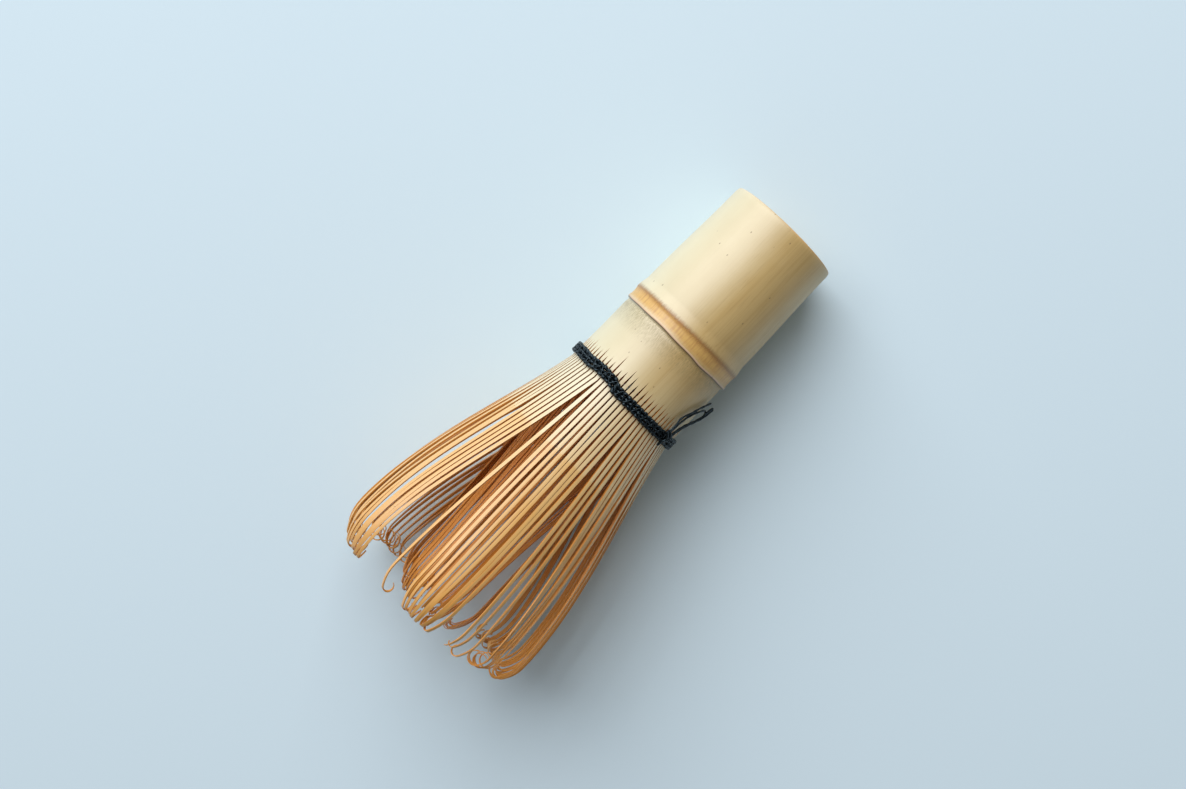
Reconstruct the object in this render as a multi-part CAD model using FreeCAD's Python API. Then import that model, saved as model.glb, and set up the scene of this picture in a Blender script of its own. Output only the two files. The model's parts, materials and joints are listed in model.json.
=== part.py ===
"""Bamboo tea whisk: one culm cut into a handle and two rings of tines, laced with one thread.

Everything is drawn along the whisk's own axis: X runs from the butt to the tips, and an angle
around the axis is counted from the top, towards +Y. The last step lays the whisk on its side.
Lengths are in millimetres, angles in degrees.
"""
import FreeCAD, Part
import math
import os
import random

# culm: the handle, from the sawn butt to the ends of the slits
butt_radius = 13.15
shoulder_radius = 13.85
node_radius = 14.2
groove_radius = 13.6
waist_radius = 13.75
crown_radius = 13.85
node_start = 28.9
node_length = 3.2
groove_length = 1.0
crown_end = 46.1
edge_chamfer = 0.25

# the two hollows on either side of the node's septum
butt_bore_radius = 9.0
septum_thickness = 4.0
crown_bore_radius = 10.6
septum_start = node_start - 1.4

# slits between the tine roots
slit_width = 0.42
slit_length = 3.2
slit_step = 1.2

# tines
tine_count = 76
first_root_angle = -85.6
root_gap = 0.3
outer_root_width = 0.74
outer_root_thickness = 0.54
outer_tip_width = 0.46
outer_tip_thickness = 0.20
inner_root_width = 0.52
inner_root_thickness = 0.40
inner_tip_width = 0.26
inner_tip_thickness = 0.15
belly_radius = 24.6
inner_belly_radius = 10.5
outer_foot_slope = 0.21
inner_foot_slope = -0.09

# lacing: the thread that runs outside and inside the outer tines
thread_diameter = 0.90
inner_thread_diameter = 0.62
thread_rounds = 3
thread_clearance = 0.08
lacing_offset = 2.0
lacing_tilt = 1.6
stitch_diameter = 0.30
tail_diameter = 0.50
knot_angle = 52.0
knot_length = 2.4
knot_height = 1.3

# One entry for each clump that the outer tines have drawn together into: how many tines it
# holds, where its belly is, the radius of the bend past it and of the curl past that; then, for
# its first and its last tine, the angle of the tip, how far the tip has turned at its end, and
# how far the curl leans off straight in.
outer_clumps = [
    dict(tines=13, belly=101.8, bend=12, curl=1.8, tips=(-88, -43.5), turn=(200, 200), lean=(0, 38)),
    dict(tines=1, belly=104.0, bend=9, curl=1.4, tips=(-23.5, -23.5), turn=(215, 215), lean=(-30, -30)),
    dict(tines=9, belly=101.6, bend=12, curl=1.6, tips=(-10.5, 13.5), turn=(200, 220), lean=(-35, 20)),
    dict(tines=3, belly=103.8, bend=8, curl=1.3, tips=(24.5, 33), turn=(75, 260), lean=(10, 25)),
    dict(tines=5, belly=105.0, bend=4, curl=1.75, tips=(43.5, 52.5), turn=(260, 310), lean=(38, 38)),
    dict(tines=6, belly=104.2, bend=7, curl=1.7, tips=(69, 87), turn=(230, 230), lean=(10, 10)),
    dict(tines=9, belly=103.2, bend=9, curl=1.7, tips=(95, 114), turn=(200, 200), lean=(0, 0)),
    dict(tines=10, belly=103.2, bend=9, curl=1.7, tips=(120, 140), turn=(240, 240), lean=(0, 0)),
    dict(tines=10, belly=105.2, bend=5, curl=1.8, tips=(219, 237.5), turn=(270, 270), lean=(40, 25)),
    dict(tines=10, belly=103.2, bend=9, curl=1.7, tips=(248, 265), turn=(200, 200), lean=(0, 0)),
]

# The same for the inner tines, which stay near the middle in six looser groups. Each outer tine
# has one inner tine behind it, cut from the same sliver; the first group starts a few in.
inner_clumps = [
    dict(tines=13, belly=101.6, bend=12, curl=1.2, tips=(-50, -17), turn=(215, 215), lean=(0, 0)),
    dict(tines=12, belly=101.3, bend=12, curl=1.2, tips=(-6, 26), turn=(230, 230), lean=(0, 0)),
    dict(tines=13, belly=101.6, bend=12, curl=1.1, tips=(66, 98), turn=(200, 200), lean=(0, 0)),
    dict(tines=13, belly=101.0, bend=12, curl=1.2, tips=(136, 167), turn=(215, 215), lean=(0, 0)),
    dict(tines=12, belly=100.4, bend=12, curl=1.1, tips=(179, 207), turn=(230, 230), lean=(0, 0)),
    dict(tines=13, belly=101.0, bend=12, curl=1.2, tips=(219, 250), turn=(205, 205), lean=(0, 0)),
]
first_inner_tine = 2

# sections along one tine
shaft_sections = 7
curl_step = 30.0
bend_turn = 35.0

root_station = crown_end + root_gap
lacing_station = crown_end + lacing_offset
lacing_pitch = thread_diameter * 0.95
foot_end = lacing_station + lacing_pitch * thread_rounds / 2 + 0.3
outer_root_radius = crown_radius - outer_root_thickness / 2
lacing_radius = crown_radius + thread_clearance + thread_diameter / 2
inner_ring_radius = (crown_radius - outer_root_thickness - thread_clearance
                     - inner_thread_diameter / 2)
inner_root_radius = (inner_ring_radius - inner_thread_diameter / 2 - thread_clearance
                     - inner_root_thickness / 2)


def vec(station, radius, angle):
    """A point at a station on the axis, a radius from it and an angle around it."""
    a = math.radians(angle)
    return FreeCAD.Vector(station, radius * math.sin(a), radius * math.cos(a))


def outward(angle):
    """The unit vector that points away from the axis at an angle."""
    return vec(0, 1, angle)


def mix(a, b, t):
    """The value a share t of the way from a to b."""
    return a + (b - a) * t


# ---------------------------------------------------------------- culm

def culm():
    """The turned culm with both hollows, before it is slit."""
    groove = node_start + node_length
    septum_end = septum_start + septum_thickness
    outline = [
        (0.0, butt_bore_radius + edge_chamfer),
        (0.0, butt_radius - edge_chamfer),
        (edge_chamfer, butt_radius),
        (node_start - 3.0, shoulder_radius),
        (node_start - 0.6, node_radius),
        (groove - 0.5, node_radius),
        (groove, groove_radius),
        (groove + groove_length, waist_radius),
        (mix(groove, crown_end, 0.6), waist_radius),
        (crown_end, crown_radius),
        (crown_end, crown_bore_radius),
        (septum_end + 0.8, crown_bore_radius),
        (septum_end, crown_bore_radius - 0.8),
        (septum_end, 0.0),
        (septum_start, 0.0),
        (septum_start, butt_bore_radius),
        (edge_chamfer, butt_bore_radius),
    ]
    points = [FreeCAD.Vector(x, 0, r) for x, r in outline]
    face = Part.Face(Part.makePolygon(points + points[:1]))
    return face.revolve(FreeCAD.Vector(0, 0, 0), FreeCAD.Vector(1, 0, 0), 360)


def slit(index):
    """A wedge that parts two tine roots; its sharp end points to the butt."""
    angle = first_root_angle + (index + 0.5) * 360.0 / tine_count
    reach = slit_length + slit_step * math.sin(2.3 * index) * math.cos(0.7 * index)
    low, high = crown_bore_radius - 1.0, crown_radius + 1.0
    side = slit_width / 2
    a = FreeCAD.Vector(crown_end - reach, 0, low)
    b = FreeCAD.Vector(crown_end + 1, -side, low)
    c = FreeCAD.Vector(crown_end + 1, side, low)
    wedge = Part.Face(Part.makePolygon([a, b, c, a])).extrude(FreeCAD.Vector(0, 0, high - low))
    wedge.rotate(FreeCAD.Vector(0, 0, 0), FreeCAD.Vector(1, 0, 0), -angle)
    return wedge


def handle():
    """The culm with a slit between every two outer tine roots."""
    return culm().cut([slit(i) for i in range(tine_count)])


# ---------------------------------------------------------------- tines

def shaft_radius(t, span, low, high, slope):
    """Distance from the axis a share t along a shaft that leaves its foot at a slope and ends level."""
    a = 2 * t ** 3 - 3 * t ** 2 + 1
    b = t ** 3 - 2 * t ** 2 + t
    return low * a + slope * span * b + high * (1 - a)


def bend(turn, wide, curl):
    """How far a tip has run on and dropped after a turn: a wide bend, then a tight curl."""
    first = math.radians(min(turn, bend_turn))
    on = wide * math.sin(first)
    down = wide * (1 - math.cos(first))
    if turn > bend_turn:
        now = math.radians(turn)
        on += curl * (math.sin(now) - math.sin(first))
        down += curl * (math.cos(first) - math.cos(now))
    return on, down


def section(centre, along, across, width, thickness):
    """A rectangle square to a tine; across points to the tine's outer face."""
    side = along.cross(across)
    side.normalize()
    face = side.cross(along)
    face.normalize()
    w, h = side * (width / 2), face * (thickness / 2)
    ring = [centre - w - h, centre + w - h, centre + w + h, centre - w + h]
    return Part.makePolygon(ring + ring[:1])


def tine(t):
    """One tine: a level foot under the thread, a shaft that leaves it, a belly and a curled tip."""
    span = t["belly"] - foot_end
    places, ups = [vec(root_station, t["low"], t["root"])], [outward(t["root"])]
    for k in range(shaft_sections):
        s = k / (shaft_sections - 1)
        r = shaft_radius(s, span, t["low"], t["high"], t["slope"])
        turn = mix(t["root"], t["tip"], 1 - (1 - s) ** 1.4)
        places.append(vec(foot_end + s * span, r, turn))
        ups.append(outward(turn + t["lean"] * s ** 3))
    down = outward(t["tip"] + t["lean"])
    belly = places[-1]
    steps = int(math.ceil(t["turn"] / curl_step))
    for k in range(1, steps + 1):
        turn = t["turn"] * k / steps
        on, drop = bend(turn, t["bend"], t["curl"])
        places.append(belly + FreeCAD.Vector(on, 0, 0) - down * drop)
        a = math.radians(turn)
        ups.append(down * math.cos(a) + FreeCAD.Vector(math.sin(a), 0, 0))
    lengths = [0.0]
    for a, b in zip(places, places[1:]):
        lengths.append(lengths[-1] + (b - a).Length)
    wires = []
    for k, (place, up) in enumerate(zip(places, ups)):
        before, after = places[max(k - 1, 0)], places[min(k + 1, len(places) - 1)]
        share = lengths[k] / lengths[-1]
        width = mix(t["wide"], t["narrow"], share ** 1.3)
        thickness = mix(t["thick"], t["thin"], min(1.0, share / 0.85))
        wires.append(section(place, after - before, up, width, thickness))
    return Part.makeLoft(wires, True, True)


def outer_tines(number):
    """The outer tines of one clump: a list of the values that draw each of them."""
    build = dict(low=outer_root_radius, slope=outer_foot_slope,
                 wide=outer_root_width, narrow=outer_tip_width,
                 thick=outer_root_thickness, thin=outer_tip_thickness)
    return clump_tines(outer_clumps, number, 0, belly_radius, build, 100 + number)


def inner_tines(number):
    """The inner tines of one clump: a list of the values that draw each of them."""
    build = dict(low=inner_root_radius, slope=inner_foot_slope,
                 wide=inner_root_width, narrow=inner_tip_width,
                 thick=inner_root_thickness, thin=inner_tip_thickness)
    return clump_tines(inner_clumps, number, first_inner_tine, inner_belly_radius, build,
                       200 + number)


def clump_tines(clumps, number, offset, belly_height, build, seed):
    """One clump's tines, each a little longer or shorter and more or less curled."""
    clump = clumps[number]
    first = offset + sum(c["tines"] for c in clumps[:number])
    rng = random.Random(seed)
    tines = []
    for k in range(clump["tines"]):
        share = k / max(1, clump["tines"] - 1)
        tines.append(dict(
            build,
            root=first_root_angle + (first + k) * 360.0 / tine_count,
            tip=mix(*clump["tips"], share),
            high=belly_height + rng.uniform(-0.2, 0.2),
            belly=clump["belly"] + rng.uniform(-0.6, 0.6),
            bend=clump["bend"], curl=clump["curl"] * rng.uniform(0.92, 1.08),
            turn=mix(*clump["turn"], share) * rng.uniform(0.9, 1.1),
            lean=mix(*clump["lean"], share)))
    return tines


# ---------------------------------------------------------------- lacing

def ring(station, radius, diameter):
    """One closed round of thread."""
    return Part.makeTorus(radius, diameter / 2, FreeCAD.Vector(station, 0, 0),
                          FreeCAD.Vector(1, 0, 0))


def tilted(shape):
    """The lacing was pulled tight a little out of square: its +Y side is nearer the tips."""
    shape.rotate(FreeCAD.Vector(lacing_station, 0, 0), FreeCAD.Vector(0, 0, 1), -lacing_tilt)
    return shape


def outside_rounds(diameter):
    """The rounds of thread that lie side by side outside the tines."""
    low = lacing_station - lacing_pitch * (thread_rounds - 1) / 2
    return [ring(low + k * lacing_pitch, lacing_radius, diameter) for k in range(thread_rounds)]


def lacing():
    """The rounds outside the tines, the round inside them, and the stitches between."""
    rounds = outside_rounds(thread_diameter)
    inside = ring(lacing_station, inner_ring_radius, inner_thread_diameter)
    stitches = []
    for k in range(0, tine_count, 2):
        angle = first_root_angle + (k + 0.5) * 360.0 / tine_count
        foot = vec(lacing_station, inner_ring_radius, angle)
        stitches.append(Part.makeCylinder(stitch_diameter / 2, lacing_radius - inner_ring_radius,
                                          foot, outward(angle)))
    return tilted(rounds[0].fuse(rounds[1:] + [inside] + stitches))


def tube(points, diameter):
    """A thread through points: straight runs joined by tangent arcs."""
    runs, start, radii = [], points[0], []
    for before, corner, after in zip(points, points[1:], points[2:]):
        a, b = before - corner, after - corner
        half = a.getAngle(b) / 2
        cut = 0.45 * min(a.Length, b.Length)
        radii.append(round(cut * math.tan(half), 2))
        a.normalize()
        b.normalize()
        middle = a + b
        middle.normalize()
        radius = cut * math.tan(half)
        nearest = corner + middle * (radius / math.sin(half) - radius)
        first, last = corner + a * cut, corner + b * cut
        runs.append(Part.LineSegment(start, first).toShape())
        runs.append(Part.Arc(first, nearest, last).toShape())
        start = last
    runs.append(Part.LineSegment(start, points[-1]).toShape())
    path = Part.Wire(runs)
    circle = Part.Circle(points[0], points[1] - points[0], diameter / 2)
    print("thread bend radii", radii)
    return path.makePipeShell([Part.Wire(circle.toShape())], True, False)


def knot():
    """The knot that closes the lacing, pressed down onto the rounds below it."""
    body = Part.makeSphere(1.0)
    shape = FreeCAD.Matrix()
    shape.scale(knot_length / 2, 1.0, knot_height / 2)
    body = body.transformGeometry(shape)
    body.rotate(FreeCAD.Vector(0, 0, 0), FreeCAD.Vector(1, 0, 0), -knot_angle)
    body.translate(vec(lacing_station, lacing_radius + knot_height * 0.6, knot_angle))
    return tilted(body.cut(outside_rounds(thread_diameter + 0.06)))


def tails():
    """The two ends of the thread, which leave the knot and lie round the side of the culm."""
    skin = crown_radius + tail_diameter / 2 + 0.1
    start = lacing_station - knot_length / 2 + 0.15
    over = lacing_radius + thread_diameter / 2 + tail_diameter / 2 + 0.1
    upper = [
        vec(start, over, knot_angle - 1.5),
        vec(lacing_station - 3.8, skin + 0.55, knot_angle + 1),
        vec(lacing_station - 8.5, skin + 0.15, knot_angle + 11),
        vec(lacing_station - 11.9, skin + 0.2, knot_angle + 24),
    ]
    lower = [
        vec(start, over, knot_angle + 5.5),
        vec(lacing_station - 4.2, skin + 0.5, knot_angle + 12),
        vec(lacing_station - 7.5, skin + 0.75, knot_angle + 24),
        vec(lacing_station - 11.3, skin + 1.2, knot_angle + 31),
    ]
    return tube(upper, tail_diameter).fuse([tube(lower, tail_diameter)])


# ---------------------------------------------------------------- placing

def lying_angle(solids):
    """The tilt at which the butt's rim and the lowest tine both touch the ground."""
    steepest = -90.0
    for solid in solids:
        for v in solid.Vertexes:
            p = v.Point
            tilt = math.degrees(math.atan2(-p.z - butt_radius, p.x - edge_chamfer))
            steepest = max(steepest, tilt)
    return steepest


nodes = {"handle": handle(), "lacing": lacing(), "knot": knot(), "thread_tails": tails()}
for n in range(len(outer_clumps)):
    nodes["outer_tines_%d" % (n + 1)] = Part.makeCompound([tine(t) for t in outer_tines(n)])
for n in range(len(inner_clumps)):
    nodes["inner_tines_%d" % (n + 1)] = Part.makeCompound([tine(t) for t in inner_tines(n)])

resting = lying_angle([nodes["outer_tines_%d" % (n + 1)] for n in range(len(outer_clumps))])
tilt = FreeCAD.Rotation(FreeCAD.Vector(0, 1, 0), -resting)
box = FreeCAD.BoundBox()
for shape in nodes.values():
    shape.Placement = FreeCAD.Placement(FreeCAD.Vector(0, 0, 0), tilt) * shape.Placement
    box.add(shape.BoundBox)
middle = FreeCAD.Vector(-(box.XMin + box.XMax) / 2, -(box.YMin + box.YMax) / 2, -box.ZMin)

os.makedirs("parts", exist_ok=True)
for name, shape in nodes.items():
    shape.translate(middle)
    shape.exportStep("parts/%s.step" % name)
print("lying angle", round(resting, 4), "butt centre", [round(c, 4) for c in middle])
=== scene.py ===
import json
import math
import random

import bpy
import numpy as np
from mathutils import Matrix


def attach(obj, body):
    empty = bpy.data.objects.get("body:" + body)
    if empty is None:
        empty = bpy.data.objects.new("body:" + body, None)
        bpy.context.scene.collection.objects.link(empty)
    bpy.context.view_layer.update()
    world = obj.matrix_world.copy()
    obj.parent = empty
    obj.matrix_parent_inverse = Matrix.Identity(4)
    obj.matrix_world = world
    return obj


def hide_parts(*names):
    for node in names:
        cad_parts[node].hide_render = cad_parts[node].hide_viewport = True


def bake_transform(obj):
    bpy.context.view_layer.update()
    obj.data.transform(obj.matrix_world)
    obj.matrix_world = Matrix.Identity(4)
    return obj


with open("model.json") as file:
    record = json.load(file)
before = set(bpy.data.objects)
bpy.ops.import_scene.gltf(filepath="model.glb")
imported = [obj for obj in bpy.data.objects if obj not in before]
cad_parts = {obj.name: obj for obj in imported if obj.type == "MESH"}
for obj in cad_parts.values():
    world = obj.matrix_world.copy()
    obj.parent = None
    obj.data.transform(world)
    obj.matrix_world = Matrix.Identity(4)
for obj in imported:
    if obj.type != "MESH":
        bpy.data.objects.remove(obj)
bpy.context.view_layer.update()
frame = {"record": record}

# ---------------------------------------------------------------------------
# Handle: the butt half of one culm of dried bamboo, turned smooth but not quite
# round, its node left standing as a low band and a wavy lip. It is sawn square,
# hollow on both sides of the node's septum, and slit into tines beyond its waist.
# ---------------------------------------------------------------------------
TINE_COUNT = 76
FIRST_ROOT = -85.6
PITCH = 360.0 / TINE_COUNT
TEETH_FROM = 40.0
NODE_LIP = 32.6
LIP_REACH = 4.0
BUTT_HOLE = 9.0
CROWN_HOLE = 10.6
SEPTUM = (27.5, 31.5)
SAWN_EDGE = 12.72
BUTT_RADIUS = 13.05
SKIN_STEPS = [  # from one station to another the skin rises by so much, in millimetres
    (0.0, 1.0, 0.15),  # the softened rim of the butt
    (1, 26, 0.60),  # a gentle taper up to the node
    (26.4, 29.3, 0.40),  # the node's swelling
    (29.4, 30.4, -0.18),  # the fall to the foot of the lip
    (31.5, 32.5, 0.18),  # the lip
    (32.55, 33.15, -0.48),  # the groove beyond the lip
    (33.0, 33.2, -0.08),
    (33.2, 34.2, 0.11),  # out of the groove to the waist
    (40.0, 46.0, 0.11),  # the crown under the thread
]

# The whisk lies on its side, so its axis climbs a little from the butt to the
# tips. Pieces are worked out along that axis, in millimetres: a station from
# the butt, and a side and a height off the axis.
BORE_STATION = 13.0
bore = next(m for m in frame["record"]["mounts"] if m["name"] == "butt_bore")
AHEAD = -np.array(bore["axis"]) / np.linalg.norm(bore["axis"])
SIDE = np.array([0.0, 1.0, 0.0])
ABOVE = np.cross(AHEAD, SIDE)
BUTT = np.array(bore["pos_m"]) - 0.001 * BORE_STATION * AHEAD


def rise(x, a, b):
    """A smooth step: 0 before a, 1 after b, and 3t^2 - 2t^3 between."""
    t = np.clip((x - a) / (b - a), 0, 1)
    return t * t * (3 - 2 * t)


def lip_wave(angle):
    """How far the node's lip wanders along the culm: three waves, and a step up to 22 then down by 150."""
    a = np.radians(angle)
    step = 0.5 * (np.tanh((angle - 22) / 5) - np.tanh((angle - 150) / 20))
    return 0.14 * np.sin(2 * a + 1) + 0.07 * np.sin(5 * a) + 0.04 * np.sin(11 * a + 2) + 0.22 * step


def skin_radius(station, angle):
    """The culm's outer radius: the butt's, plus each smooth step, on a slightly oval round."""
    s = station - lip_wave(angle) * rise(station, 30.5, 32) * (1 - rise(station, 33.8, 35))
    r = BUTT_RADIUS
    for start, end, height in SKIN_STEPS:
        r = r + height * rise(s, start, end)
    a = np.radians(angle)
    return r * (1 + 0.004 * np.cos(2 * a + 0.6) + 0.002 * np.cos(3 * a))


def culm_columns(count):
    """Angles around the culm, so many to each sliver, starting at a slit."""
    return FIRST_ROOT - PITCH / 2 + np.arange(TINE_COUNT * count) * PITCH / count


def around(station, radius, angle):
    """Points (station, radius sin angle, radius cos angle); the angle is in degrees from the top."""
    a = np.radians(angle)
    parts = np.broadcast_arrays(station, radius * np.sin(a), radius * np.cos(a))
    return np.stack(parts, axis=-1).astype(float)


def grid_faces(rows, columns, first=0):
    """Quads of a tube of rows by columns that closes on itself across the columns."""
    i = first + np.arange(rows * columns).reshape(rows, columns)
    near, far = i[:-1], i[1:]
    quads = [near, far, np.roll(far, -1, 1), np.roll(near, -1, 1)]
    return np.stack(quads, axis=-1).reshape(-1, 4)


def handle_mesh():
    """The outline turned round the axis: septum, butt hollow, rim, skin, shoulder and crown hollow."""
    angles = culm_columns(4)[None, :]
    skin = np.unique(np.concatenate([
        np.linspace(0.35, 26, 40), np.linspace(26, 34.4, 62), np.linspace(34.4, TEETH_FROM, 12)]))
    rows = [(SEPTUM[0], r, "hollow") for r in np.linspace(0.5, BUTT_HOLE - 0.6, 5)]
    rows += [(SEPTUM[0] - 0.5, BUTT_HOLE, "hollow")]
    rows += [(s, BUTT_HOLE, "hollow") for s in np.linspace(26, 0.5, 10)]
    rows += [(0.12, BUTT_HOLE + 0.08, "sawn")]
    rows += [(0.0, r, "sawn") for r in np.linspace(BUTT_HOLE + 0.3, SAWN_EDGE, 7)]
    rows += [(0.06, SAWN_EDGE + 0.18, "sawn"), (0.18, SAWN_EDGE + 0.28, "skin")]
    rows += [(s, None, "skin") for s in skin]
    rows += [(TEETH_FROM, 12.0, "sawn"), (TEETH_FROM, CROWN_HOLE, "hollow")]
    rows += [(s, CROWN_HOLE, "hollow") for s in (37, 34, 32.6)]
    rows += [(SEPTUM[1], r, "hollow") for r in (9.8, 7, 4, 0.5)]
    points = np.array([
        around(s, skin_radius(s, angles) if r is None else r, angles)[0] for s, r, _ in rows])
    kinds = np.array([k for _, _, k in rows])
    faces = grid_faces(len(rows), angles.size)
    ends = [np.arange(angles.size), np.arange(angles.size)[::-1] + (len(rows) - 1) * angles.size]
    part = np.repeat(kinds[1:], angles.size).tolist() + ["hollow", "hollow"]
    flat = points.reshape(-1, 3)
    lip = (flat[:, 0] - lip_wave(np.tile(angles[0], len(rows))) - NODE_LIP) / LIP_REACH + 0.5
    return flat, list(faces) + ends, np.array(part), lip


def colour(text):
    """A linear colour from six hexadecimal digits."""
    c = np.array([int(text[i:i + 2], 16) / 255 for i in (0, 2, 4)])
    c = np.where(c <= 0.04045, c / 12.92, ((c + 0.055) / 1.055) ** 2.4)
    return (*c, 1.0)


class Nodes:
    """Short words for building one material's node tree."""

    def __init__(self, name):
        self.material = bpy.data.materials.new(name)
        self.material.use_nodes = True
        self.tree = self.material.node_tree
        self.shader = self.tree.nodes["Principled BSDF"]

    def put(self, kind, inputs=None, **settings):
        """A new node, with its settings and what its inputs are given."""
        node = self.tree.nodes.new("ShaderNode" + kind)
        for key, value in settings.items():
            setattr(node, key, value)
        for key, value in (inputs or {}).items():
            self.feed(node.inputs[key], value)
        return node

    def feed(self, socket, value):
        """A link to the socket from another node, or a plain value on it."""
        if isinstance(value, bpy.types.NodeSocket):
            self.tree.links.new(value, socket)
        else:
            socket.default_value = value

    def read(self, name, out="Fac"):
        """One of the piece's own named values."""
        return self.put("Attribute", attribute_name=name).outputs[out]

    def sum(self, how, a, b=0.0, c=0.0):
        """One step of arithmetic on numbers."""
        return self.put("Math", {0: a, 1: b, 2: c}, operation=how).outputs[0]

    def noise(self, vector, detail=3.0, rough=0.55):
        """Soft random patches, 0 to 1, as large as one unit of the stretched place."""
        made = self.put("TexNoise", {"Vector": vector, "Scale": 1.0, "Detail": detail,
                                     "Roughness": rough})
        return made.outputs["Fac"]

    def cells(self, vector):
        """The distance from the nearest of some scattered spots."""
        return self.put("TexVoronoi", {"Vector": vector, "Scale": 1.0}).outputs[0]

    def stretch(self, vector, along, across):
        """A place scaled along the fibres and across them, so that patterns follow the fibres."""
        made = self.put("Mapping", {"Vector": vector, "Scale": (along, across, across)})
        return made.outputs["Vector"]

    def ramp(self, value, stops, smooth=False):
        """A grey or a colour that changes with a value, from stop to stop."""
        made = self.put("ValToRGB", {"Fac": value})
        band = made.color_ramp
        band.interpolation = "EASE" if smooth else "LINEAR"
        while len(band.elements) < len(stops):
            band.elements.new(0.5)
        for element, (place, shade) in zip(band.elements, stops):
            element.position = place
            element.color = colour(shade) if isinstance(shade, str) else (*[shade] * 3, 1.0)
        return made.outputs["Color"]

    def blend(self, a, b, share):
        """The first colour, covered by a share of the second."""
        return self.put("Mix", {"Factor": share, 6: a, 7: b}, data_type="RGBA").outputs[2]

    def finish(self, **inputs):
        """The material, once its shader is given these inputs."""
        for key, value in inputs.items():
            self.feed(self.shader.inputs[key.replace("_", " ")], value)
        return self.material


# Bamboo has dry cream skin with fine lengthwise fibres, and tan to orange-brown
# wood where it is split or shaved. Every point knows its place in the uncut
# culm, so that the fibres run on from the handle into the tines.
FULL_LENGTH = 120.0
CULM_WIDTH = 28.0


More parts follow.
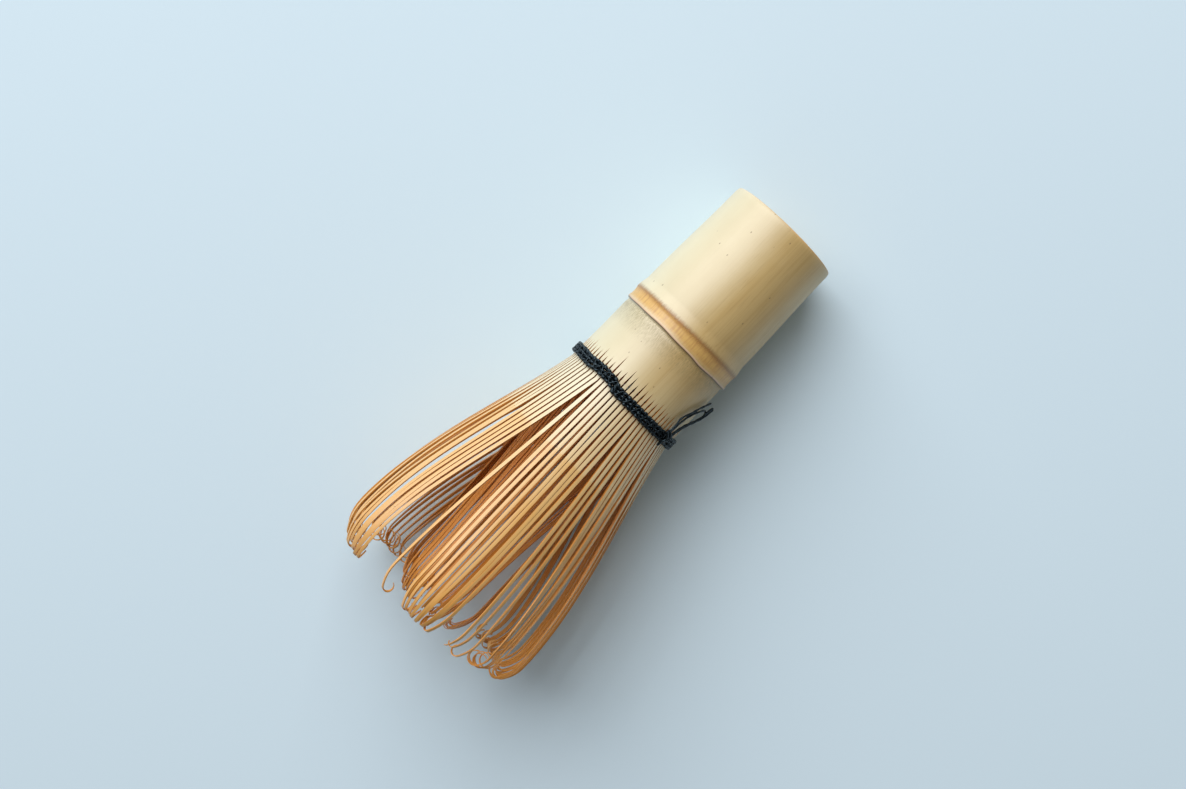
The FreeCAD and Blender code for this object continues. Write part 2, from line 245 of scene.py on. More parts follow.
def bamboo(name, darker):
    """Skin, split wood, sawn face and hollow of the culm, told apart by the faces' own values."""
    n = Nodes(name)
    place = n.read("culm_place", "Vector")
    split = n.put("SeparateXYZ", {0: place})
    station = split.outputs["X"]
    share = n.sum("DIVIDE", station, FULL_LENGTH)
    fibres = n.noise(n.stretch(place, 0.035, 4.5), 4.0, 0.6)
    strands = n.noise(n.stretch(place, 0.02, 1.3), 2.0)
    share_across = n.sum("MULTIPLY_ADD", split.outputs["Y"], 1 / CULM_WIDTH, 0.5)
    # painted shade: a mask across the culm, strongest on the side away from the lamp
    grain_on_shaded_side = n.ramp(share_across, [(0.30, 0.25), (0.62, 1.0)])
    # painted light: a mask across the culm, strongest on the side facing the lamp
    painted_lit_side = n.ramp(share_across, [(0.08, 0.62), (0.36, 0.38), (0.58, 0.0)])
    clouds = n.noise(n.stretch(place, 0.05, 0.09))
    hairs = n.noise(n.stretch(place, 0.09, 9.0), 2.0, 0.5)

    # skin: straw, paler by the thread, then cream to amber down the tines from a shaved line on; the cream
    # on the tines before that line is partly their unshaved skin, partly a painted highlight
    tone = n.ramp(share, [
        (0.0, "D9A466"), (0.004, "CFB073"), (0.20, "D1B377"), (0.29, "C9AA70"), (0.36, "D3B982"),
        (0.40, "DFCAA0"), (0.46, "E6D0A2"), (0.546, "ECCA90"), (0.551, "E8B76C"), (0.72, "E8AF5C"),
        (0.90, "E6A850"), (1.0, "DDA24E")])
    # the dark streaks and hairlines are the grain, laid on more heavily on the side away from the lamp as
    # painted shade
    streaks = n.ramp(strands, [(0.48, 0.0), (0.78, 0.42)])
    tone = n.blend(tone, colour("B68F4B"), n.sum("MULTIPLY", streaks, grain_on_shaded_side))
    hairlines = n.ramp(fibres, [(0.54, 0.0), (0.80, 0.5)])
    tone = n.blend(tone, colour("9C773C"), n.sum("MULTIPLY", hairlines, grain_on_shaded_side))
    tone = n.blend(tone, colour("EEDDB0"), n.ramp(clouds, [(0.48, 0.0), (0.75, 0.30)]))

    # painted light: the side facing the lamp is made paler and greyer, a painted highlight, the handle
    # more than the tines
    painted_lit_side = n.sum("MULTIPLY", painted_lit_side, n.ramp(share, [(0.44, 1.0), (0.56, 0.22)]))
    tone = n.blend(tone, colour("E4E3CA"), painted_lit_side)

    # below the node the skin is smudged olive, in short dark strokes
    wander = n.sum("MULTIPLY", n.sum("SUBTRACT", hairs, 0.5), 3.0)
    smudge = n.ramp(n.sum("DIVIDE", n.sum("ADD", station, wander), FULL_LENGTH),
                    [(0.272, 0.0), (0.277, 0.85), (0.298, 0.42), (0.325, 0.0)], True)
    strokes = n.ramp(n.noise(n.stretch(place, 1.1, 7.0), 3.0, 0.7), [(0.42, 0.25), (0.62, 1.0)])
    tone = n.blend(tone, colour("8C7B4C"), n.sum("MULTIPLY", smudge, strokes))

    # the node: a fringed brown edge, a tan band, a pinkish lip and a dark line under it
    ragged = n.noise(n.stretch(place, 0.3, 5.0), 3.0, 0.7)
    fringe = n.sum("MULTIPLY", n.sum("SUBTRACT", ragged, 0.5), 1.2)
    edge = n.sum("DIVIDE", n.sum("ADD", station, fringe), FULL_LENGTH)
    band = n.ramp(edge, [(0.2405, 0.0), (0.2445, 1.0), (0.264, 1.0), (0.272, 0.0)])
    tan = n.ramp(edge, [
        (0.242, "8A6436"), (0.246, "A2743C"), (0.2495, "D2A35A"), (0.259, "E0B566"),
        (0.268, "D2A45A")])
    mottled = n.ramp(n.noise(n.stretch(place, 0.25, 2.4)), [(0.45, 0.0), (0.7, 0.6)])
    tan = n.blend(tan, colour("B87F45"), mottled)
    tone = n.blend(tone, tan, band)
    lip_at = n.read("lip_distance")
    lip = n.ramp(lip_at, [(0.42, 0.0), (0.46, 1.0), (0.53, 1.0), (0.56, 0.0)])
    tone = n.blend(tone, colour("DDBB98"), lip)
    line = n.ramp(lip_at, [(0.51, 0.0), (0.54, 1.0), (0.565, 1.0), (0.59, 0.0)])
    tone = n.blend(tone, colour("4E3626"), n.sum("MULTIPLY", line, 0.8))

    # small knocks and specks
    marks = n.ramp(n.cells(n.stretch(place, 0.22, 0.42)), [(0.035, 0.75), (0.06, 0.0)])
    tone = n.blend(tone, colour("7A5B36"), marks)

    # split and shaved wood: darker towards the pith, with coarse lengthwise fibres
    wood = n.ramp(share, [
        (0.0, "C79A5C"), (0.35, "DB984C"), (0.385, "CC8438"), (0.42, "AE6A28"), (0.55, "C67A28"),
        (0.75, "DA8E2C"), (1.0, "E09C3C")])
    wood = n.blend(wood, colour("8E5018"), n.ramp(fibres, [(0.48, 0.0), (0.82, 0.55)]))
    wood = n.blend(wood, colour("E4AE52"), n.ramp(strands, [(0.50, 0.0), (0.8, 0.5)]))
    wood = n.blend(wood, colour("C87418"), darker)
    tone = n.blend(wood, tone, n.read("skin"))

    # the sawn butt and the pith side of the culm
    pores = n.cells(n.stretch(place, 0.0, 2.6))
    sawn = n.blend(colour("DDB777"), colour("9A6A36"), n.ramp(pores, [(0.10, 0.8), (0.30, 0.0)]))
    tone = n.blend(tone, sawn, n.read("sawn"))
    pith = n.blend(colour("E2CDA0"), colour("B98F5A"), n.ramp(clouds, [(0.35, 0.0), (0.7, 0.8)]))
    tone = n.blend(tone, pith, n.read("hollow"))

    # the skin is smoother than the split wood; the fibres stand up and the knocks are dents
    rough = n.ramp(fibres, [(0.3, 0.36), (0.7, 0.52)])
    rough = n.blend(colour("C0C0C0"), rough, n.read("skin"))
    relief = n.sum("ADD", n.sum("MULTIPLY", fibres, 0.6), n.sum("MULTIPLY", hairs, 0.4))
    relief = n.sum("SUBTRACT", relief, n.sum("MULTIPLY", marks, 0.6))
    bump = n.put("Bump", {"Height": relief, "Strength": 0.22, "Distance": 0.00012})
    return n.finish(Base_Color=tone, Roughness=rough, Normal=bump.outputs[0],
                    Specular_IOR_Level=0.75, Coat_Weight=0.25, Coat_Roughness=0.32)


def in_frame(points):
    """Whisk-axis millimetres to the frame's metres: butt + station, side and height along three axes."""
    return BUTT + 0.001 * (points @ np.array([AHEAD, SIDE, ABOVE]))


def piece(name, points, faces, material, sharp, values, face_values=()):
    """One object in the frame from whisk-axis points, with its named values on points and faces."""
    mesh = bpy.data.meshes.new(name)
    mesh.from_pydata(in_frame(points).tolist(), [], [list(map(int, f)) for f in faces])
    mesh.polygons.foreach_set("use_smooth", [True] * len(mesh.polygons))
    mesh.set_sharp_from_angle(angle=math.radians(sharp))
    for where, named in (("POINT", values), ("FACE", face_values)):
        for key, data in dict(named).items():
            data = np.asarray(data, np.float32)
            kind = "FLOAT_VECTOR" if data.ndim == 2 else "FLOAT"
            spot = mesh.attributes.new(key, kind, where)
            spot.data.foreach_set("vector" if data.ndim == 2 else "value", data.ravel())
    mesh.materials.append(material)
    made = bpy.data.objects.new(name, mesh)
    bpy.context.scene.collection.objects.link(made)
    return made


culm_bamboo = bamboo("culm bamboo", 0.0)
points, faces, part, lip = handle_mesh()
handle = piece("handle_culm", points, faces, culm_bamboo, 30,
               {"culm_place": points, "lip_distance": lip},
               {"skin": part == "skin", "sawn": part == "sawn", "hollow": part == "hollow"})
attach(handle, "handle")
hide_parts("handle")

# ---------------------------------------------------------------------------
# Outer tines: the skin side of the split culm. Each is one sliver that starts
# as a tooth of the handle, thins as it passes under the thread, bellies out,
# and curls in at its shaved tip. Use has drawn them together into ten clumps.
# ---------------------------------------------------------------------------
SLIT_WIDTH = 0.40
SLIT_DEPTH = 2.1
SLIT_UNEVEN = 0.9
LONG_SLIT = 1.6
CROWN_END = 46.1
TINES_FROM = 46.4
FOOT_END = 49.68
BEND_TURN = 35.0

# Each clump: how many tines; the station of its widest place; the radii of the wide
# bend and of the tight curl at the tip; then, for its first and its last tine, where
# the tip lies round the whisk, how far it turns in, and how far it leans sideways.
# The first clump is drawn towards one edge, and one edge of the ninth lies lower.
OUTER_CLUMPS = [
    dict(tines=13, belly=101.8, bend=12, curl=1.8, tips=(-88, -43.5), turn=(200, 200), lean=(0, 38),
         drawn=1.35),
    dict(tines=1, belly=104.0, bend=9, curl=1.4, tips=(-23.5, -23.5), turn=(215, 215), lean=(-30, -30)),
    dict(tines=9, belly=101.6, bend=12, curl=1.6, tips=(-10.5, 13.5), turn=(200, 220), lean=(-35, 20)),
    dict(tines=3, belly=103.8, bend=8, curl=1.3, tips=(24.5, 33), turn=(75, 260), lean=(10, 25)),
    dict(tines=5, belly=105.0, bend=4, curl=1.75, tips=(43.5, 52.5), turn=(260, 310), lean=(38, 38)),
    dict(tines=6, belly=104.2, bend=7, curl=1.7, tips=(69, 87), turn=(230, 230), lean=(10, 10)),
    dict(tines=9, belly=103.2, bend=9, curl=1.7, tips=(95, 114), turn=(200, 200), lean=(0, 0)),
    dict(tines=10, belly=103.2, bend=9, curl=1.7, tips=(120, 140), turn=(240, 240), lean=(0, 0)),
    dict(tines=10, belly=105.2, bend=5, curl=1.8, tips=(211, 236), turn=(270, 270), lean=(40, 25),
         high=(22.6, 24.6)),
    dict(tines=10, belly=103.2, bend=9, curl=1.7, tips=(248, 265), turn=(200, 200), lean=(0, 0)),
]
# Every outer tine: its distance off the axis at the foot and at its widest place, the
# slope it leaves the foot with, and its width and thickness at the root and the tip.
OUTER = dict(low=13.58, high=24.6, slope=0.21, wide=0.82, narrow=0.60, thick=0.54, thin=0.24)


def mix(a, b, t):
    """The value a share t of the way from a to b."""
    return a + (b - a) * t


def clump_tines(clumps, number, offset, build, seed):
    """The values of one clump's tines as columns: evenly rooted, tips spread, each a little its own."""
    clump = clumps[number]
    first = offset + sum(c["tines"] for c in clumps[:number])
    rng = random.Random(seed)
    rows = []
    for k in range(clump["tines"]):
        share = k / max(1, clump["tines"] - 1)
        rows.append(dict(
            build, index=first + k, root=FIRST_ROOT + (first + k) * PITCH,
            tip=mix(*clump["tips"], 1 - (1 - share) ** clump.get("drawn", 1)),
            high=mix(*clump.get("high", (build["high"],) * 2), share) + rng.uniform(-0.2, 0.2),
            belly=clump["belly"] + rng.uniform(-0.6, 0.6),
            bend=clump["bend"], curl=clump["curl"] * rng.uniform(0.92, 1.08),
            turn=mix(*clump["turn"], share) * rng.uniform(0.9, 1.1),
            lean=mix(*clump["lean"], share)))
    return {key: np.array([row[key] for row in rows], float)[:, None] for key in rows[0]}


def slit_start(index):
    """Where along the culm the slit before a sliver begins: uneven by two sines, and a few run long."""
    uneven_share = np.sin(2.3 * (index - 1)) * np.cos(0.7 * (index - 1))
    runs_long = np.sin(4.1 * index + 1) > 0.93
    return CROWN_END - SLIT_DEPTH - SLIT_UNEVEN * uneven_share - LONG_SLIT * runs_long


def shaft_and_curl(t, seed, shaft=30, curl=30):
    """Centre lines of a clump's tines and the way each outer face looks.

    Foot: level under the thread. Shaft: the distance off the axis is a cubic from the foot's
    slope to level at the belly, and the angle eases from root to tip. Tip: a wide bend, then a
    tight curl in the plane that leans. Every tine sways a little, and neighbours lie in pairs.
    """
    count = t["root"].size
    wobble = np.random.default_rng(seed).normal(0, 1, (6, count, 1))
    foot = np.linspace(TINES_FROM, FOOT_END, 4)[None, :-1] + 0 * t["root"]
    foot_line = around(foot, t["low"] + 0 * foot, t["root"] + 0 * foot)
    foot_face = around(0 * foot, 1 + 0 * foot, t["root"] + 0 * foot)
    s = np.linspace(0, 1, shaft)[None, :]
    span = t["belly"] - FOOT_END
    a = 2 * s ** 3 - 3 * s ** 2 + 1
    r = t["low"] * a + t["slope"] * span * (s ** 3 - 2 * s ** 2 + s) + t["high"] * (1 - a)
    r = r + 0.15 * wobble[0] * np.sin(np.pi * s) ** 2
    angle = mix(t["root"], t["tip"], 1 - (1 - s) ** 1.4)
    sway = 0.20 * wobble[1] * np.sin(np.pi * s) ** 2 + 0.10 * wobble[2] * np.sin(2 * np.pi * s) * s
    pairs = np.where(np.arange(count) % 2, -1.0, 1.0)[:, None] * min(1, count - 1)
    sway = sway + (0.16 * wobble[5] + 0.20 * pairs) * s ** 2
    angle = angle + np.degrees(sway / r)
    lean = t["lean"] + 5 * wobble[3]
    line = around(FOOT_END + s * span, r, angle)
    face = around(0 * s, 1 + 0 * s, angle + lean * s ** 3)
    end_angle = angle[:, -1:]

    turn = t["turn"] * np.linspace(0, 1, curl + 1)[None, 1:]
    one, two = np.radians(np.minimum(turn, BEND_TURN)), np.radians(np.maximum(turn, BEND_TURN))
    edge = math.radians(BEND_TURN)
    tight = t["curl"] * (1 - 0.22 * (turn / t["turn"]) ** 2)
    on = t["bend"] * np.sin(one) + tight * (np.sin(two) - math.sin(edge))
    drop = t["bend"] * (1 - np.cos(one)) + tight * (math.cos(edge) - np.cos(two))
    down = around(0 * turn, 1 + 0 * turn, end_angle + lean + 0 * turn)
    across = np.cross(np.array([1.0, 0, 0]), down)
    slide = (0.30 * wobble[4] * (turn / 200) ** 2)[..., None] * across
    tip = line[:, -1:] + on[..., None] * np.array([1.0, 0, 0]) - drop[..., None] * down + slide
    a = np.radians(turn)[..., None]
    tip_face = down * np.cos(a) + np.sin(a) * np.array([1.0, 0, 0])
    return np.concatenate([foot_line, line, tip], 1), np.concatenate([foot_face, face, tip_face], 1)


def unit(v):
    """Vectors scaled to length one."""
    return v / np.linalg.norm(v, axis=-1, keepdims=True)


def tine_sections(line, face, t):
    """Corners of each tine's rectangular sections: outer left, outer right, inner right, inner left."""
    along = unit(np.gradient(line, axis=1))
    side = unit(np.cross(along, face))
    out = np.cross(side, along)
    steps = np.linalg.norm(np.diff(line, axis=1), axis=2)
    run = np.concatenate([np.zeros((len(line), 1)), np.cumsum(steps, 1)], 1)
    share = run / run[:, -1:]
    width = mix(t["wide"], t["narrow"], share ** 1.3) * (1 - 0.55 * rise(share, 0.95, 1.0))
    thick = mix(t["thick"], t["thin"], np.minimum(1, share / 0.85)) * (1 - 0.5 * rise(share, 0.93, 1))
    w, h = side * width[..., None] / 2, out * thick[..., None] / 2
    return np.stack([line + w + h, line - w + h, line - w - h, line + w - h], 2), run


def ring_of(corners, bulge):
    """Seven points round a section: five across its outer face, crowned a little, and two inside."""
    a, b, c, d = (corners[:, :, k] for k in range(4))
    out = unit((a - d) + (b - c))
    across = [mix(a, b, u) + out * (bulge * (1 - (2 * u - 1) ** 2)) for u in (0, 0.25, 0.5, 0.75, 1)]
    return np.stack([*across, c, d], 2)


def clump_piece(name, rings, grain, material, with_skin):
    """All of a clump's tines as one mesh: tubes of seven points with closed ends."""
    count, rows, ring = rings.shape[:3]
    faces, skin = [], []
    block = grid_faces(rows, ring)
    outer = (np.arange(ring) < 4) * float(with_skin)
    for k in range(count):
        first = k * rows * ring
        faces += list(block + first)
        faces += [first + np.arange(ring), first + (rows - 1) * ring + np.arange(ring)[::-1]]
        skin += [np.tile(outer, rows - 1), np.zeros(2)]
    flat = rings.reshape(-1, 3)
    none = np.zeros(len(faces))
    return piece(name, flat, faces, material, 30,
                 {"culm_place": grain.reshape(-1, 3), "lip_distance": np.zeros(len(flat))},
                 {"skin": np.concatenate(skin), "sawn": none, "hollow": none})


def teeth(t):
    """The slivers' first stretch, still the culm's full wall: corners by angle, parted by the slits."""
    s = np.linspace(TEETH_FROM, CROWN_END, 13)[None, :]
    gaps = []
    for index in (t["index"], t["index"] + 1):
        begins = slit_start(index)
        gaps.append(SLIT_WIDTH * np.clip((s - begins) / (CROWN_END - begins), 0, 1))
    outer = skin_radius(s, t["root"])
    left = t["root"] - PITCH / 2 + np.degrees(gaps[0] / 2 / outer)
    right = t["root"] + PITCH / 2 - np.degrees(gaps[1] / 2 / outer)
    inner = CROWN_HOLE + 0 * outer
    u = np.linspace(0, 1, 5)
    across = [around(s, skin_radius(s, mix(left, right, k)), mix(left, right, k)) for k in u]
    return np.stack([*across, around(s, inner, right), around(s, inner, left)], 2)


def culm_places(rings, run):
    """Each point's place in the uncut culm: its run along the sliver, at its root's depth and angle."""
    root = rings[:, :1]
    depth = np.linalg.norm(root[..., 1:], axis=-1)
    spin = np.degrees(np.arctan2(root[..., 1], root[..., 2]))
    return around(run[:, :, None], depth, spin)


def body_name(kind, number):
    """What the frame calls a clump's body."""
    return "%s_tines_%d" % (kind, number + 1)


for number in range(len(OUTER_CLUMPS)):
    t = clump_tines(OUTER_CLUMPS, number, 0, OUTER, 100 + number)
    line, face = shaft_and_curl(t, 500 + number)
    corners, run = tine_sections(line, face, t)
    tooth = teeth(t)
    rings = np.concatenate([tooth, ring_of(corners, 0.02)], 1)
    grain = culm_places(rings, np.concatenate([tooth[:, :, 2, 0], TINES_FROM + run], 1))
    name = body_name("outer", number)
    made = clump_piece(name + "_split", rings, grain, culm_bamboo, True)
    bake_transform(made)
    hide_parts(name)

# ---------------------------------------------------------------------------
# Inner tines: the pith side of the same slivers, finer and darker. They leave
# the teeth inside the thread and stay near the middle in six loose groups.
# ---------------------------------------------------------------------------
INNER_CLUMPS = [
    dict(tines=13, belly=101.6, bend=12, curl=1.2, tips=(-50, -17), turn=(215, 215), lean=(0, 0)),
    dict(tines=12, belly=101.3, bend=12, curl=1.2, tips=(-6, 36), turn=(230, 230), lean=(0, 0)),
    dict(tines=13, belly=101.6, bend=12, curl=1.1, tips=(66, 98), turn=(200, 200), lean=(0, 0)),
    dict(tines=13, belly=101.0, bend=12, curl=1.2, tips=(136, 167), turn=(215, 215), lean=(0, 0)),
    dict(tines=12, belly=100.4, bend=12, curl=1.1, tips=(179, 207), turn=(230, 230), lean=(0, 0)),
    dict(tines=13, belly=101.0, bend=12, curl=1.2, tips=(219, 250), turn=(205, 205), lean=(0, 0)),
]
FIRST_INNER = 2
INNER = dict(low=12.23, high=10.5, slope=-0.09, wide=0.56, narrow=0.38, thick=0.40, thin=0.16)
INNER_FOOT = 1.2
pith_bamboo = bamboo("pith-side bamboo", 0.35)

for number in range(len(INNER_CLUMPS)):
    t = clump_tines(INNER_CLUMPS, number, FIRST_INNER, INNER, 200 + number)
    line, face = shaft_and_curl(t, 700 + number, 24, 26)
    corners, run = tine_sections(line, face, t)
    shaft = ring_of(corners, 0.0)
    foot = shaft[:, :1] - np.array([INNER_FOOT, 0, 0])
    rings = np.concatenate([foot, shaft], 1)
    foot_run = TINES_FROM - INNER_FOOT + 0 * run[:, :1]
    grain = culm_places(rings, np.concatenate([foot_run, TINES_FROM + run], 1))
    name = body_name("inner", number)
    made = clump_piece(name + "_split", rings, grain, pith_bamboo, False)
    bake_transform(made)
    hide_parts(name)

# ---------------------------------------------------------------------------
# Thread: black cotton, two plies twisted together, waxed by handling. Three
# rounds lie side by side outside the tines, dipping between every two, with a
# finer end crossing back and forth over them; one round runs inside.
# ---------------------------------------------------------------------------
LACING_AT = 48.1
THREAD = 0.90
LACING_TILT = 1.6
PLIES = 2
PLY_TWIST = 2.0
FINE_END = 0.36
INSIDE_ROUND = 0.6
OVER_TINES = 13.83
INSIDE_TINES = 12.9
# Where the rounds cross: the angle, how gradual the side step is, and half of the step.
CROSSINGS = [(-12, 2.5, 0.38), (-38, 4, -0.22), (110, 20, -0.16)]


def thread_material():
    """Blue-black cotton: fibres along each ply, worn paler on the crowns of the twist."""
    n = Nodes("black thread")
    lay = n.read("thread_lay", "Vector")
    fuzz = n.noise(n.stretch(lay, 3.0, 9.0), 4.0, 0.7)
    crown = n.read("ply_crown")
    tone = n.blend(colour("010203"), colour("060D13"), n.ramp(crown, [(0.45, 0.0), (1.0, 0.9)]))
    tone = n.blend(tone, colour("15222B"), n.ramp(fuzz, [(0.60, 0.0), (0.80, 0.6)]))
    bump = n.put("Bump", {"Height": fuzz, "Strength": 0.6, "Distance": 0.00008})
    return n.finish(Base_Color=tone, Roughness=0.27, Normal=bump.outputs[0],
                    Specular_IOR_Level=0.5, Specular_Tint=(0.62, 0.86, 1.0, 1.0))


black_thread = thread_material()


def tube_along(path, thick, closed, ring=14, ply_depth=0.2):
    """A plied tube carried along a path: its radius swells at each ply, and the plies turn with it."""
    path = np.asarray(path, float)
    if closed:
        along = unit(np.roll(path, -1, 0) - np.roll(path, 1, 0))
        hint = np.array([1.0, 0.13, 0.07])
    else:
        along = unit(np.gradient(path, axis=0))
        hint = np.array([0.1, 0.3, 1.0])
    side = unit(np.cross(along, hint))
    up = np.cross(side, along)
    steps = np.linalg.norm(np.diff(path, axis=0), axis=1)
    run = np.concatenate([[0], np.cumsum(steps)])
    twist = PLY_TWIST
    if closed:
        whole = run[-1] + np.linalg.norm(path[0] - path[-1])
        twist = whole / round(whole / PLY_TWIST)
    a = np.linspace(0, 2 * np.pi, ring, endpoint=False)[None, :]
    crown = np.cos(PLIES * (a - 2 * np.pi * run[:, None] / (twist * PLIES)))
    radius = thick / 2 * (1 - ply_depth / 2 + ply_depth / 2 * crown)
    if not closed:
        end = np.minimum(run, run[-1] - run)[:, None]
        radius = radius * np.sqrt(np.clip(end / (0.35 * thick), 0.05, 1))
    spread = side[:, None] * np.cos(a)[..., None] + up[:, None] * np.sin(a)[..., None]
    points = path[:, None] + spread * radius[..., None]
    lay = np.stack(np.broadcast_arrays(run[:, None], a / 2, 0 * a), -1)
    return points, crown * 0.5 + 0.5, lay, closed


def thread_piece(name, tubes):
    """One or more thread tubes as one mesh that rides on the handle."""
    flat, faces, crowns, lays, first = [], [], [], [], 0
    for points, crown, lay, closed in tubes:
        rows, ring = points.shape[:2]
        faces += list(grid_faces(rows, ring, first))
        i = first + np.arange(rows * ring).reshape(rows, ring)
        if closed:
            quads = [i[-1], i[0], np.roll(i[0], -1), np.roll(i[-1], -1)]
            faces += list(np.stack(quads, -1))
        else:
            faces += [i[0], i[-1][::-1]]
        flat.append(points.reshape(-1, 3))
        crowns.append(crown.ravel())
        lays.append(lay.reshape(-1, 3))
        first += rows * ring
    made = piece(name, np.concatenate(flat), faces, black_thread, 60,
                 {"ply_crown": np.concatenate(crowns), "thread_lay": np.concatenate(lays)})
    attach(made, "handle")
    return made


def uneven(angle, seed, rough=0.5):
    """A smooth wander round the ring: thirteen sines with random phases, the short ones weaker."""
    rng = np.random.default_rng(seed)
    a = np.radians(angle)
    total = 0 * a
    for k in range(1, 14):
        total = total + rng.normal() * np.sin(k * 3 * a + rng.uniform(0, 6.28)) / k ** rough
    return total / 3.0


def out_of_square(points):
    """The lacing was pulled tight a little out of square: its side with the knot is nearer the tips."""
    tilt = math.radians(LACING_TILT)
    s, y = points[..., 0] - LACING_AT, points[..., 1]
    turned = [s * math.cos(tilt) + y * math.sin(tilt) + LACING_AT,
              y * math.cos(tilt) - s * math.sin(tilt), points[..., 2]]
    return np.stack(turned, -1)


def side_step(angle):
    """Where the rounds cross over each other the band steps sideways: a smooth step at each angle."""
    a = (angle + 180) % 360 - 180
    total = 0 * a
    for crossing, gradual, half_step in CROSSINGS:
        total = total + half_step * (1 + np.tanh((a - crossing) / gradual))
    return total


angles = np.arange(TINE_COUNT * 10) * 360.0 / (TINE_COUNT * 10)
over_tine = np.cos(np.radians((angles - FIRST_ROOT) * TINE_COUNT))
tubes = []
for k in range(3):
    offset = (k - 1) * THREAD * 0.90
    r = OVER_TINES + THREAD / 2 + 0.15 * over_tine + 0.05 * uneven(angles, 30 + k)
    s = LACING_AT + offset * (1 + 0.12 * over_tine) + 0.13 * uneven(angles, 40 + k, 0.8)
    outside = out_of_square(around(s + side_step(angles), r, angles))
    tubes.append(tube_along(outside, THREAD * 0.98, True, ply_depth=0.26))
sweep = np.radians((angles - FIRST_ROOT) * TINE_COUNT / 2)
r = OVER_TINES + THREAD - 0.12 + 0.02 * over_tine
s = LACING_AT + 0.80 * np.sin(sweep) + 0.1 * uneven(angles, 50) + side_step(angles)
tubes.append(tube_along(out_of_square(around(s, r, angles)), FINE_END, True, ring=10))
inside = out_of_square(around(LACING_AT + 0 * angles, INSIDE_TINES + 0 * angles, angles))
tubes.append(tube_along(inside, INSIDE_ROUND, True, ring=8))
lacing = thread_piece("lacing_thread", tubes)
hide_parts("lacing")

# ---------------------------------------------------------------------------
# Knot and tails: where the thread's two ends are tied on the side, and the
# ends themselves, left lying round the side of the culm in loose strands.
# ---------------------------------------------------------------------------
KNOT_ANGLE = 52.0
KNOT_THREAD = 0.62
TAIL_THREAD = 0.48


def strand(control, count=60):
    """Points along the smooth curve that a thread makes of a few places that it passes."""
    curve = bpy.data.curves.new("strand", "CURVE")
    curve.dimensions = "3D"
    spline = curve.splines.new("NURBS")
    spline.points.add(len(control) - 1)
    spline.points.foreach_set("co", np.c_[np.array(control), np.ones(len(control))].ravel())
    spline.order_u = 3
    spline.use_endpoint_u = True
    spline.resolution_u = max(2, count // len(control))
    holder = bpy.data.objects.new("strand", curve)
    mesh = bpy.data.meshes.new_from_object(holder)
    line = np.array([v.co for v in mesh.vertices])
    bpy.data.objects.remove(holder)
    bpy.data.meshes.remove(mesh)
    bpy.data.curves.remove(curve)
    return line


def places(*stops):
    """Stations before the lacing, radii and angles past the knot as whisk-axis points."""
    return [out_of_square(around(LACING_AT - s, r, KNOT_ANGLE + a)).tolist() for s, r, a in stops]


loops = [
    places((-1.3, 14.6, -3), (-0.9, 15.3, 1), (0.4, 15.6, 3.5), (1.5, 15.2, 1), (1.6, 14.9, -3)),
    places((-1.2, 14.7, 5), (-0.4, 15.5, 1.5), (0.6, 15.7, -1.5), (1.4, 15.0, -3.5)),
    places((1.5, 14.9, 5.5), (0.5, 15.8, 3), (-0.7, 15.5, 0), (-1.5, 15.0, 0.5), (-2.4, 14.9, 1.8)),
]
knot = thread_piece("knot_thread", [tube_along(strand(c), KNOT_THREAD, False) for c in loops])
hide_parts("knot")

tails = [
    places((0.8, 15.1, -1.5), (3.0, 14.9, 1), (5.0, 14.4, 0), (7.2, 14.3, 7), (9.0, 14.4, 10),
           (11.9, 14.3, 24)),
    places((0.8, 15.1, 0), (3.4, 14.7, 2.5), (6.2, 14.3, 7), (8.6, 14.4, 14), (10.2, 14.6, 24),
           (9.0, 14.9, 29)),
    places((0.8, 15.0, 4), (4.0, 14.6, 10), (6.0, 14.7, 18), (8.0, 14.9, 26), (10.6, 15.1, 30),
           (11.4, 15.1, 29), (10.8, 15.0, 26.5), (8.6, 15.0, 24)),
    places((0.9, 15.0, 5.5), (4.2, 14.7, 12), (6.4, 14.9, 20), (8.6, 15.2, 28), (11.2, 15.3, 31)),
]
ends = thread_piece("thread_tail_strands", [tube_along(strand(c, 90), TAIL_THREAD, False) for c in tails])
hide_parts("thread_tails")

# ---------------------------------------------------------------------------
# Studio: a plain pale floor, one large soft light from the butt's left side, a
# pale sky for fill, and the camera above the whisk, which lies aslant in its view.
# ---------------------------------------------------------------------------
FLOOR_REACH = 2.0
FOCAL = 1800.0
WIDTH = 1186.0
SENSOR = 36.0
AIM = (52.7, -4.85, 0.0)
DISTANCE = 380.0
AXIS_TURN = (-0.697, 0.717)
CAMERA_TILT = 1.5
SKY = (0.97, 0.97, 0.97, 1.0)
SKY_STRENGTH = 0.175

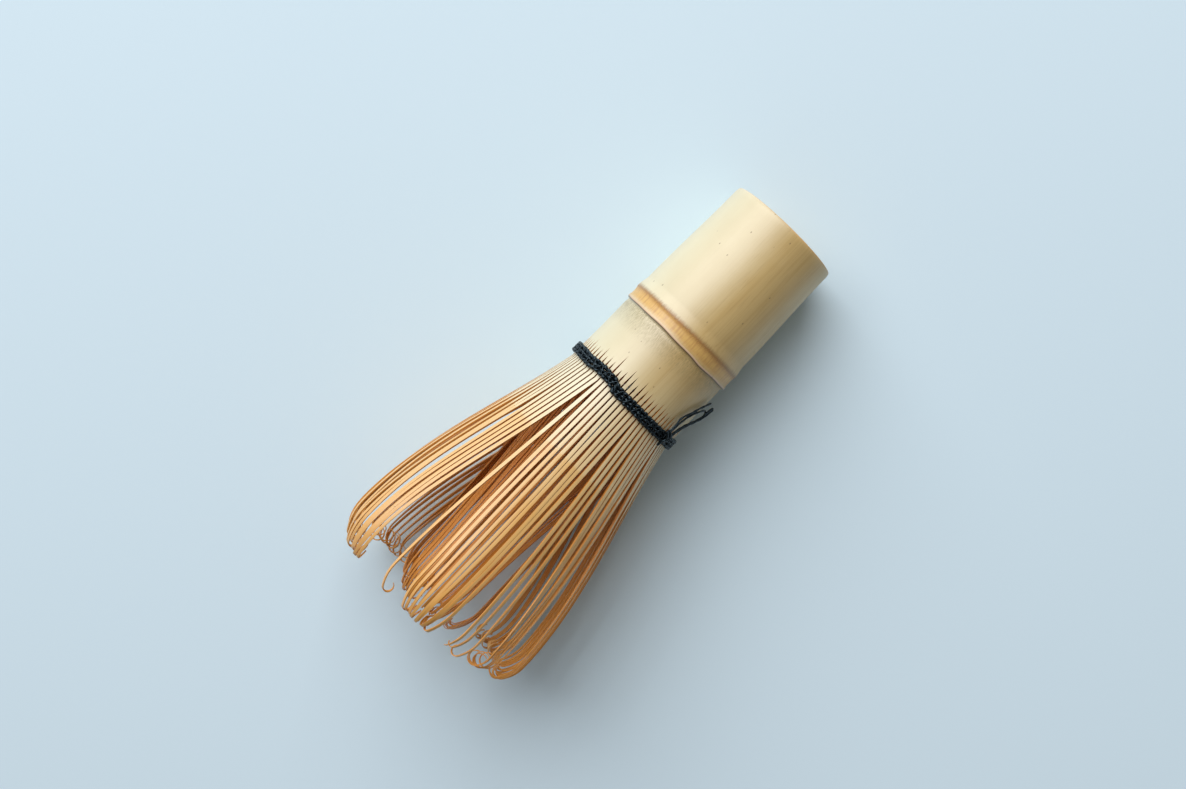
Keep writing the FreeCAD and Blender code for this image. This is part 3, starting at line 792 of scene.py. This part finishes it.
floor_mesh = bpy.data.meshes.new("floor")
floor_corners = FLOOR_REACH * np.array([(-1, -1, 0), (1, -1, 0), (1, 1, 0), (-1, 1, 0)])
floor_mesh.from_pydata(floor_corners.tolist(), [], [(0, 1, 2, 3)])
floor = bpy.data.objects.new("floor", floor_mesh)
bpy.context.scene.collection.objects.link(floor)
pale = Nodes("pale floor")
floor_mesh.materials.append(pale.finish(Base_Color=colour("D8ECF7"), Roughness=0.8))

axes = np.array([AHEAD, SIDE, ABOVE])
a, b = np.array(AXIS_TURN) / np.linalg.norm(AXIS_TURN)
tilt = math.radians(CAMERA_TILT)
to_camera = math.cos(tilt) * ABOVE - math.sin(tilt) * AHEAD
along_view = math.cos(tilt) * AHEAD + math.sin(tilt) * ABOVE
right = a * along_view + b * SIDE
up = -b * along_view + a * SIDE
target = in_frame(np.array(AIM))
camera_data = bpy.data.cameras.new("camera")
camera_data.sensor_width = SENSOR
camera_data.lens = FOCAL / WIDTH * SENSOR
camera_data.clip_start = 0.01
camera = bpy.data.objects.new("camera", camera_data)
bpy.context.scene.collection.objects.link(camera)
turn = Matrix(np.array([right, up, to_camera]).T.tolist()).to_4x4()
camera.matrix_world = Matrix.Translation((target + 0.001 * DISTANCE * to_camera).tolist()) @ turn
bpy.context.scene.camera = camera


def soft_light(name, toward, distance, size, watts, tint):
    """A square area light that looks at the whisk from a direction given in whisk axes."""
    data = bpy.data.lights.new(name, "AREA")
    data.shape = "SQUARE"
    data.size = size
    data.energy = watts
    data.color = tint
    lamp = bpy.data.objects.new(name, data)
    bpy.context.scene.collection.objects.link(lamp)
    way = unit(np.array(toward, float)) @ axes
    x = unit(np.cross(np.array([0.3, 0.2, 1.0]), way))
    y = np.cross(way, x)
    look = Matrix(np.array([x, y, way]).T.tolist()).to_4x4()
    lamp.matrix_world = Matrix.Translation((target + way * distance).tolist()) @ look


soft_light("window", (-0.50, -0.90, 0.96), 1.3, 1.45, 25.0, (0.99, 0.99, 1.0))

world = bpy.data.worlds.new("sky")
world.use_nodes = True
backdrop = world.node_tree.nodes["Background"]
backdrop.inputs["Color"].default_value = SKY
backdrop.inputs["Strength"].default_value = SKY_STRENGTH
bpy.context.scene.world = world
bpy.context.scene.view_settings.view_transform = "Standard"
